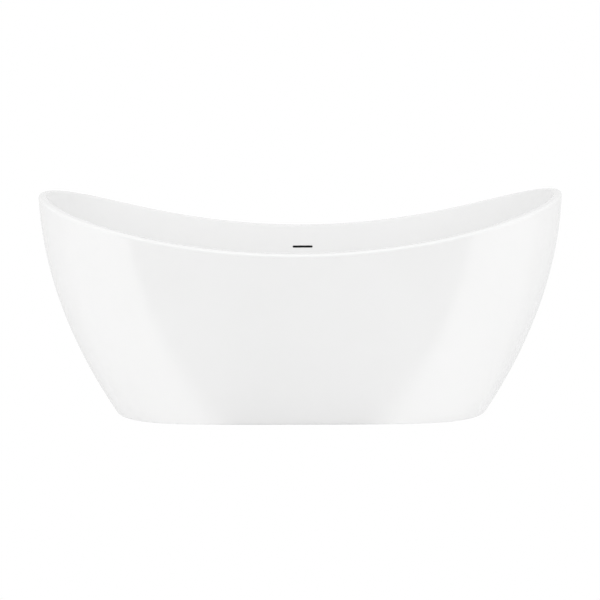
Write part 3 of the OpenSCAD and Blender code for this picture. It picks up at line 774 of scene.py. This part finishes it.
def laminate():
    """Sprayed resin and chopped glass on the backs of the shells: short strands, runs and a waxy sheen."""
    look = Look("glass_fibre_laminate", (0.66, 0.61, 0.46), 0.45)
    strands = look.cells(240, stretch=(1, 0.22, 0.6))
    crossed = look.cells(260, stretch=(0.25, 1, 0.5))
    woven = look.math("MULTIPLY", strands, crossed)
    blotches = look.math("ADD", woven, look.noise(16, 5))
    look.tint(look.colours(blotches, (0.50, 0.45, 0.30), (0.74, 0.70, 0.56), 0.35, 0.95))
    look.sheen(look.between(look.noise(40, 4), 0.28, 0.6))
    look.bumps((look.noise(18, 5, distortion=0.6), 0.003), (woven, 0.0012))
    return look.material


def bond_resin():
    look = Look("cured_bond_resin", (0.78, 0.74, 0.62), 0.4)
    look.tint(look.colours(look.noise(45, 6), (0.60, 0.55, 0.41), (0.80, 0.76, 0.64)))
    look.sheen(look.between(look.noise(80, 3), 0.25, 0.55))
    look.bumps((look.noise(60, 4, distortion=1.0), 0.0015), (look.noise(400, 3), 0.0002))
    return look.material


def foam():
    look = Look("cut_rigid_foam", (0.86, 0.82, 0.66), 0.85)
    pores = look.cells(900)
    # Painted shade in the pores: the pits of the cut cells, where the bump sinks, are coloured darker
    open_share = look.between(pores, 0.0, 1.0, 0.1, 0.5)
    look.tint(look.mixed(open_share, (0.66, 0.58, 0.36, 1), (0.87, 0.82, 0.63, 1)))
    look.sheen(look.between(look.noise(30, 3), 0.78, 0.92))
    look.bumps((pores, 0.0009), (look.noise(120, 5), 0.0008))
    return look.material


def plywood():
    """Board with the grain along X on its faces and the plies' stripes on its edges."""
    look = Look("birch_plywood", (0.72, 0.56, 0.38), 0.6)
    grain = look.noise(9, 6, stretch=(1, 14, 14), distortion=1.2)
    fine = look.noise(60, 4, stretch=(1, 16, 16))
    figure = look.math("ADD", look.math("MULTIPLY", grain, 0.75), look.math("MULTIPLY", fine, 0.25))
    face = look.colours(figure, (0.46, 0.30, 0.16), (0.74, 0.57, 0.37), 0.32, 0.68)
    axes = look.node("ShaderNodeSeparateXYZ")
    look.put(axes.inputs[0], look.place)
    layer = look.math("FRACT", look.math("DIVIDE", axes.outputs["Z"], PLY_PAIR))
    stripes = look.math("ADD", look.math("PINGPONG", layer, 0.5), look.math("MULTIPLY", fine, 0.2))
    edge = look.colours(stripes, (0.36, 0.22, 0.11), (0.70, 0.53, 0.34), 0.28, 0.36)
    normal = look.node("ShaderNodeSeparateXYZ")
    look.put(normal.inputs[0], look.node("ShaderNodeNewGeometry").outputs["Normal"])
    flat = look.math("GREATER_THAN", look.math("ABSOLUTE", normal.outputs["Z"]), 0.7)
    look.tint(look.mixed(flat, edge, face))
    look.sheen(look.between(grain, 0.5, 0.75))
    look.bumps((fine, 0.0004), (grain, 0.0004))
    return look.material


def galvanised():
    """Zinc spangle: flat crystals of slightly different grey, with a few duller patches."""
    look = Look("galvanised_steel", (0.66, 0.68, 0.70), 0.35, 1.0)
    crystal = look.node("ShaderNodeSeparateColor")
    look.put(crystal.inputs[0], look.cells(130, "Color"))
    look.tint(look.colours(crystal.outputs[0], (0.50, 0.52, 0.54), (0.74, 0.76, 0.78), 0.0, 1.0))
    look.sheen(look.math("ADD", look.between(crystal.outputs[1], 0.26, 0.44, 0, 1),
                         look.between(look.noise(7, 4), 0.0, 0.14)))
    look.bumps((crystal.outputs[2], 0.00003), (look.noise(500, 2), 0.00004))
    return look.material


def zinc():
    look = Look("bright_zinc", (0.74, 0.75, 0.76), 0.28, 1.0)
    look.tint(look.colours(look.noise(90, 4), (0.62, 0.65, 0.68), (0.80, 0.80, 0.78)))
    look.sheen(look.between(look.noise(240, 5), 0.2, 0.42))
    look.bumps((look.noise(900, 3), 0.00003))
    return look.material


def rubber():
    look = Look("foot_rubber", (0.035, 0.035, 0.035), 0.75)
    look.tint(look.colours(look.noise(55, 5), (0.02, 0.02, 0.02), (0.055, 0.055, 0.054)))
    look.sheen(look.between(look.noise(130, 4), 0.6, 0.85))
    look.bumps((look.noise(1400, 3), 0.0001))
    return look.material


def nylon():
    look = Look("moulded_nylon", (0.05, 0.05, 0.053), 0.5)
    look.tint(look.colours(look.noise(70, 3), (0.035, 0.035, 0.038), (0.065, 0.065, 0.068)))
    look.sheen(look.between(look.noise(300, 4), 0.4, 0.58))
    look.bumps((look.cells(1700), 0.00006), (look.noise(60, 2), 0.0001))
    return look.material


def chrome():
    """Polished chrome plate, with faint wiping marks and the plating's slight bloom."""
    look = Look("polished_chrome", (0.90, 0.91, 0.92), 0.06, 1.0)
    look.tint(look.colours(look.noise(35, 3), (0.86, 0.87, 0.885), (0.93, 0.935, 0.94)))
    look.sheen(look.between(look.noise(120, 6, stretch=(1, 6, 1)), 0.03, 0.11))
    look.bumps((look.noise(70, 2), 0.00003))
    return look.material


def brass():
    """Turned brass: fine tool rings, a little dulled."""
    look = Look("turned_brass", (0.78, 0.60, 0.30), 0.3, 1.0)
    look.tint(look.colours(look.noise(60, 5), (0.62, 0.43, 0.19), (0.86, 0.70, 0.38)))
    rings = look.noise(5, 1, stretch=(1, 1, 700))
    look.sheen(look.between(look.noise(180, 4), 0.22, 0.42))
    look.bumps((rings, 0.00005), (look.noise(300, 3), 0.00003))
    return look.material


def seal_rubber():
    look = Look("seal_rubber", (0.02, 0.02, 0.02), 0.6)
    look.tint(look.colours(look.noise(80, 4), (0.012, 0.012, 0.012), (0.032, 0.032, 0.032)))
    look.sheen(look.between(look.noise(200, 4), 0.45, 0.7))
    look.bumps((look.noise(1600, 2), 0.00006))
    return look.material


def white_plastic():
    look = Look("moulded_polypropylene", (0.78, 0.78, 0.765), 0.4)
    look.tint(look.colours(look.noise(26, 4), (0.73, 0.73, 0.71), (0.81, 0.81, 0.80)))
    look.sheen(look.between(look.noise(150, 4), 0.32, 0.5))
    look.bumps((look.cells(1500), 0.00005), (look.noise(45, 2), 0.00015))
    look.shader.inputs["Subsurface Weight"].default_value = 0.08
    look.shader.inputs["Subsurface Scale"].default_value = 0.004
    return look.material


def black_plastic():
    look = Look("moulded_abs", (0.05, 0.05, 0.052), 0.45)
    look.tint(look.colours(look.noise(40, 4), (0.04, 0.04, 0.042), (0.065, 0.065, 0.067)))
    look.sheen(look.between(look.noise(110, 4), 0.34, 0.55))
    look.bumps((look.cells(1100), 0.00008), (look.noise(30, 2), 0.0002))
    return look.material


def grey_pipe():
    """Extruded pipe: draw lines along its length, which lies in the plane across the tub."""
    look = Look("extruded_pvc", (0.46, 0.47, 0.48), 0.4)
    lines = look.noise(14, 3, stretch=(60, 1, 1))
    look.tint(look.colours(look.noise(30, 4), (0.42, 0.43, 0.44), (0.50, 0.51, 0.52)))
    look.sheen(look.between(lines, 0.3, 0.5))
    look.bumps((lines, 0.00008), (look.noise(700, 2), 0.00003))
    return look.material


LOOKS = {
    "basin_acrylic": acrylic(), "bond_resin": bond_resin(), "spacer_foam": foam(), "board_ply": plywood(),
    "frame_steel": galvanised(), "zinc_fastener": zinc(), "foot_rubber": rubber(), "foot_plastic": nylon(),
    "chrome_trim": chrome(), "brass_fitting": brass(), "black_seal": seal_rubber(),
    "white_plastic": white_plastic(), "black_plastic": black_plastic(), "grey_pipe": grey_pipe()}
LOOKS["skirt_acrylic"] = LOOKS["basin_acrylic"]
SLOT_OF = {part["node"]: part["material_slot"] for part in frame["record"]["subparts"]}


# ---- Pieces ----

def stand_for(piece, node, body, *extra):
    """The piece takes the CAD node's place, its material slot and its finish, and rides on the body."""
    for material in (LOOKS[SLOT_OF[node]], *extra):
        piece.data.materials.append(material)
    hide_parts(node)
    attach(piece, body)


def hardware(name, part, node, body, sharp_angle=32):
    stand_for(smooth_mesh(name, *part, sharp_angle), node, body)


back_finish = laminate()
stand_for(inner_shell(), "inner_shell", "tub", back_finish)
stand_for(outer_skirt(), "outer_skirt", "tub", back_finish)

feet = []
for number in (1, 2, 3, 4):
    foot_low, foot_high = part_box(f"foot_sole_{number}")
    at = ((foot_low.x + foot_high.x) / 2, (foot_low.y + foot_high.y) / 2)
    feet.append(at)
    hardware(f"foot_pad_{number}", turned(eased(SOLE, 0.5, False), at, False), f"foot_sole_{number}",
             f"foot_{number}")
    hardware(f"foot_socket_{number}", turned(eased(CUP, 0.9, False), at, False), f"foot_cup_{number}",
             f"foot_{number}")
    hardware(f"foot_screw_{number}",
             joined(screw(M12_R, M12_PITCH, *STUD_ENDS, at), faceted(*COLLAR, COLLAR_BORE, at)),
             f"foot_stud_{number}", f"foot_{number}_screw")

for name, node in (("foot_nuts_below", "foot_load_nuts"), ("foot_nuts_above", "foot_lock_nuts")):
    nut_low, nut_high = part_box(node)
    low, high = nut_low.z / MM, nut_high.z / MM
    mouth = NUT_MOUTH_R - NUT_BORE_R
    bore = [(NUT_MOUTH_R, low), (NUT_BORE_R, low + mouth), (NUT_BORE_R, high - mouth), (NUT_MOUTH_R, high)]
    hardware(name, joined(*(faceted(FOOT_NUT_SIDES, FOOT_NUT_ACROSS, low, high, bore, at) for at in feet)),
             node, "tub")

bolt_low, bolt_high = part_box("frame_bolts")
bolt_low_z, bolt_high_z = bolt_low.z / MM, bolt_high.z / MM
head_ends = bolt_low_z, bolt_low_z + BOLT_HEAD_H
socket = [(BOLT_SOCKET_R, z) for z in head_ends]
bolt_x, bolt_y = bolt_high.x - BOLT_HEAD_R * MM, bolt_high.y - BOLT_HEAD_R * MM * math.cos(math.pi / 6)
bolts = []
for at in ((x, y) for x in (-bolt_x, bolt_x) for y in (-bolt_y, bolt_y)):
    bolts.append(faceted(6, 2 * BOLT_HEAD_R, *head_ends, socket, at))
    bolts.append(screw(M8_R, M8_PITCH, bolt_low_z + 1, bolt_high_z, at))
hardware("frame_bolts_m8", joined(*bolts), "frame_bolts", "tub")

hardware("waste_flange", joined(
    turned(eased(FLANGE, 0.5)), thread(*FLANGE_THREAD), turned(eased(SPIDER_BOSS, 0.5)),
    *(beam(sx, sy) for sx, sy in ((1, 0), (-1, 0), (0, 1), (0, -1)))), "drain_flange", "tub")
hardware("waste_cap", turned(eased(CAP, 0.35, False), closed=False, segments=128), "stopper_cap", "stopper")
hardware("cap_seal", turned(eased(CAP_SEAL, 0.4)), "stopper_seal", "stopper")
hardware("waste_back_nut", faceted(*BACK_NUT, BACK_NUT_BORE), "drain_nut", "tub")
hardware("waste_tail", turned(eased(TAIL, 0.5)), "tailpiece", "tub")
hardware("waste_tail_nut", faceted(*TAIL_NUT, TAIL_NUT_BORE), "tail_nut", "tub")
hardware("tee_branch_nut", moved(faceted(*SIDE_NUT, SIDE_NUT_BORE), lambda x, y, z: (x, z, BRANCH_Z - y)),
         "tee_side_nut", "tub")


def soften(piece, width):
    """Rounds a CAD node's edges.

    The node arrives with its faces apart and cut into long triangles, so they are welded and the flat ones
    merged first.
    """
    weld = piece.modifiers.new("weld", "WELD")
    weld.merge_threshold = 0.01 * MM
    flats = piece.modifiers.new("flats", "DECIMATE")
    flats.decimate_type = "DISSOLVE"
    flats.angle_limit = math.radians(0.5)
    bevel = piece.modifiers.new("bevel", "BEVEL")
    bevel.width = width
    bevel.segments = 3
    bevel.limit_method = "ANGLE"
    bevel.angle_limit = math.radians(40)
    bevel.use_clamp_overlap = True
    shade = piece.modifiers.new("shade", "WEIGHTED_NORMAL")
    shade.keep_sharp = True


for node, slot in SLOT_OF.items():
    cad = frame["nodes"][node]
    cad.data.materials.clear()
    cad.data.materials.append(LOOKS[slot])
    if node in EDGE_WIDTHS:
        soften(cad, EDGE_WIDTHS[node])


# ---- Camera, floor and light ----

def make_camera():
    data = bpy.data.cameras.new("camera")
    data.lens = CAMERA_LENS
    data.sensor_width = 36
    data.shift_x, data.shift_y = CAMERA_SHIFT
    data.clip_end = CAMERA_REACH
    camera = bpy.data.objects.new("camera", data)
    bpy.context.scene.collection.objects.link(camera)
    camera.location = CAMERA_PLACE
    aim = Vector(CAMERA_AIM) - camera.location
    camera.rotation_mode = "QUATERNION"
    camera.rotation_quaternion = aim.to_track_quat("-Z", "Y") @ Quaternion((0, 0, 1), CAMERA_ROLL)
    bpy.context.scene.camera = camera


def floor_shares(look):
    """Three numbers over the floor: how far it is beside the wedge of the tub's painted shadow, ahead of the
    tub, and under the tub.
    """
    axes = look.node("ShaderNodeSeparateXYZ")
    look.put(axes.inputs[0], look.place)
    aside = look.math("ABSOLUTE", axes.outputs["X"])
    ahead = look.math("MULTIPLY", axes.outputs["Y"], -1.0)
    # The wedge is a painted shadow of the tub on the floor, spreading out ahead of it
    spreading = look.math("MULTIPLY", look.math("SUBTRACT", ahead, SHADOW_WEDGE_START), SHADOW_WEDGE_SLOPE)
    past_shadow_wedge = look.math("SUBTRACT", aside, look.math("ADD", spreading, SHADOW_WEDGE_HALF))
    field = look.between(past_shadow_wedge, 0.0, 1.0, -SHADOW_WEDGE_SOFT, SHADOW_WEDGE_SOFT)
    front = look.between(ahead, 0.0, 1.0, FRONT_START, FRONT_FULL)
    along = look.math("DIVIDE", aside, BASE_HALF_L - UNDER_MARGIN)
    across = look.math("DIVIDE", look.math("ABSOLUTE", ahead), BASE_HALF_W - UNDER_MARGIN)
    away = look.math("ADD", look.math("POWER", along, UNDER_POWER), look.math("POWER", across, UNDER_POWER))
    return field, front, look.math("LESS_THAN", away, 1.0)


def make_floor():
    """Pale floor: plain white to the camera, and to everything else a pale matt surface with a painted glow
    ahead of the tub, weaker in a wedge of painted shadow where the tub's shadow would fall.

    Polish mirrors it as a painted reflection: a darker wedge ahead of the tub, the tub's painted shadow,
    between two brighter fields. It isn't there from below, and under the tub it lets the studio's light
    through, so that the frame can be seen.
    """
    corners = [(x * FLOOR_HALF, y * FLOOR_HALF, 0) for x, y in ((-1, -1), (1, -1), (1, 1), (-1, 1))]
    floor = smooth_mesh("floor", corners, [(0, 1, 2, 3)])
    look = Look("pale_floor", (FLOOR_SHADE,) * 3, FLOOR_ROUGHNESS)
    field, front, under = floor_shares(look)
    # Painted light: the floor glows ahead of the tub, and more in the fields beside the wedge of the tub's
    # painted shadow
    glow = look.math("ADD", look.math("MULTIPLY", field, FIELD_GLOW), FRONT_GLOW)
    look.shader.inputs["Emission Color"].default_value = (1, 1, 1, 1)
    look.put(look.shader.inputs["Emission Strength"], look.math("MULTIPLY", front, glow))
    # Painted reflection: polish sees the floor ahead of the tub as bright fields beside a darker wedge, the
    # tub's painted shadow
    ahead_level = look.math("MULTIPLY", look.between(field, MIRRORED_SHADOW_WEDGE, MIRRORED_GLOW, 0.0, 1.0), front)
    behind_level = look.math("MULTIPLY", look.math("SUBTRACT", 1.0, front), MIRRORED_LEVEL)
    mirrored = look.node("ShaderNodeEmission")
    look.put(mirrored.inputs["Strength"], look.math("ADD", ahead_level, behind_level))
    rays = look.node("ShaderNodeLightPath").outputs
    lit = look.either(rays["Is Glossy Ray"], look.shader.outputs[0], mirrored.outputs[0])
    shown = look.either(rays["Is Camera Ray"], lit, look.node("ShaderNodeEmission").outputs[0])
    open_share = look.math("MAXIMUM", under, look.node("ShaderNodeNewGeometry").outputs["Backfacing"])
    surface = look.either(open_share, shown, look.node("ShaderNodeBsdfTransparent").outputs[0])
    look.put(look.tree.nodes["Material Output"].inputs["Surface"], surface)
    floor.data.materials.append(look.material)


def make_world():
    """Soft studio: brighter in front and low at the sides, dimmer behind, plain white to the camera.

    Polish mirrors an even sky that darkens overhead.
    """
    world = bpy.data.worlds.new("studio")
    world.use_nodes = True
    tree = world.node_tree

    def math_of(operation, a, b=0.0):
        return calculated(tree, operation, a, b)

    axes = tree.nodes.new("ShaderNodeSeparateXYZ")
    feed(tree, axes.inputs[0], tree.nodes.new("ShaderNodeTexCoord").outputs["Generated"])
    x, y, z = axes.outputs
    up = math_of("MAXIMUM", z, 0.0)
    front = math_of("MULTIPLY", math_of("MAXIMUM", math_of("MULTIPLY", y, -1.0), 0.0), up)
    behind = math_of("MULTIPLY", math_of("MAXIMUM", y, 0.0), up)
    aside = math_of("MULTIPLY", math_of("ABSOLUTE", x), math_of("SUBTRACT", 1.0, up))
    light = math_of("ADD", STUDIO_LEVEL, math_of("MULTIPLY", front, STUDIO_FRONT))
    light = math_of("SUBTRACT", light, math_of("MULTIPLY", behind, STUDIO_BACK))
    light = math_of("ADD", light, math_of("MULTIPLY", aside, STUDIO_SIDE))
    overhead = math_of("MULTIPLY", math_of("MULTIPLY", up, up), MIRRORED_FALL)
    mirrored = math_of("SUBTRACT", MIRRORED_LEVEL, overhead)
    rays = tree.nodes.new("ShaderNodeLightPath").outputs
    glossy_ray, camera_ray = rays["Is Glossy Ray"], rays["Is Camera Ray"]
    light = math_of("ADD", math_of("MULTIPLY", light, math_of("SUBTRACT", 1.0, glossy_ray)),
                    math_of("MULTIPLY", mirrored, glossy_ray))
    strength = math_of("ADD", math_of("MULTIPLY", light, math_of("SUBTRACT", 1.0, camera_ray)), camera_ray)
    background = tree.nodes["Background"]
    background.inputs["Color"].default_value = (1, 1, 1, 1)
    feed(tree, background.inputs["Strength"], strength)
    bpy.context.scene.world = world


make_camera()
make_floor()
make_world()
bpy.context.scene.view_settings.view_transform = "Standard"
bpy.context.scene.view_settings.look = "None"
